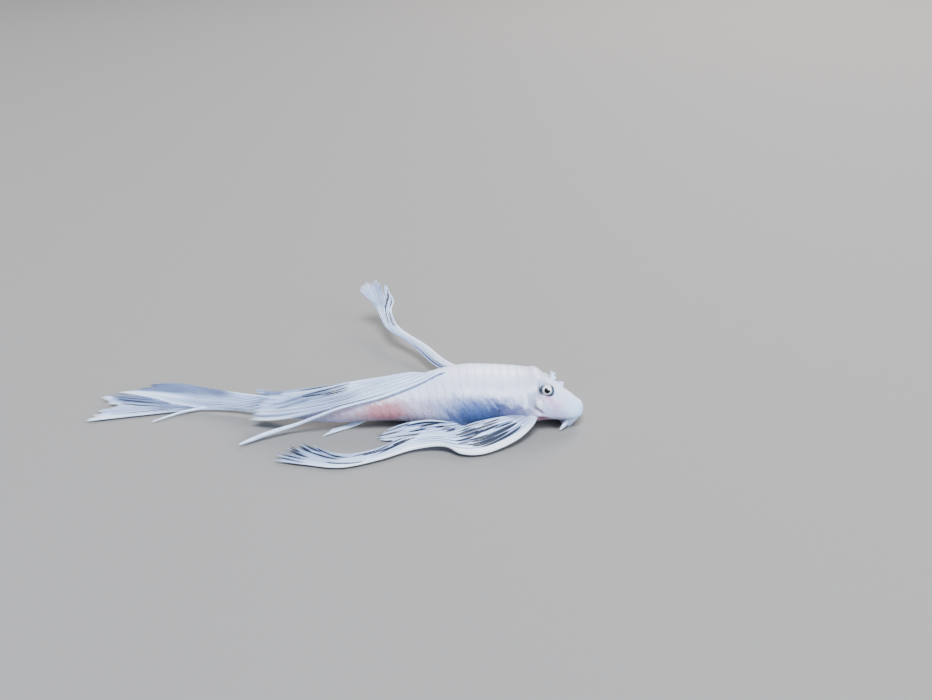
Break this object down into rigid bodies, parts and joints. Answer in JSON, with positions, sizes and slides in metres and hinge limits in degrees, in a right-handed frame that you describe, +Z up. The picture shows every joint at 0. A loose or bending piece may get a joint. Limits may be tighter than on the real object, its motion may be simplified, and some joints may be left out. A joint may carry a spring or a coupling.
{
  "type": "bristlenose pleco",
  "caption": "Life-size long-finned bristlenose pleco, an armoured sucker-mouth catfish, lying on its belly with its trailing fins spread.",
  "frame": {"origin": "on the floor plane, below the middle of the bounding box of the whole animal", "axes": "+X towards the snout, +Y towards the animal's left side, +Z up"},
  "size_m": [0.1166, 0.0838, 0.0135],
  "materials": {
    "skin": "pale pinkish white skin over fine bony plates",
    "lip": "soft pink flesh of the sucker mouth and barbels",
    "eye": "glossy dark eye with a white ring round the pupil",
    "fin": "translucent bluish white membrane with whiter rays"
  },
  "bodies": {
    "root": {"head": "skin", "trunk": "skin", "tail_stalk": "skin", "mouth": "lip", "barbel_left": "lip", "barbel_right": "lip", "eye_left": "eye", "eye_right": "eye", "pectoral_fin_right": "fin", "pectoral_fin_left": "fin", "pelvic_fin_right": "fin", "pelvic_fin_left": "fin", "dorsal_fin": "fin", "adipose_fin": "fin", "anal_fin": "fin", "caudal_fin": "fin"}
  },
  "joints": []
}
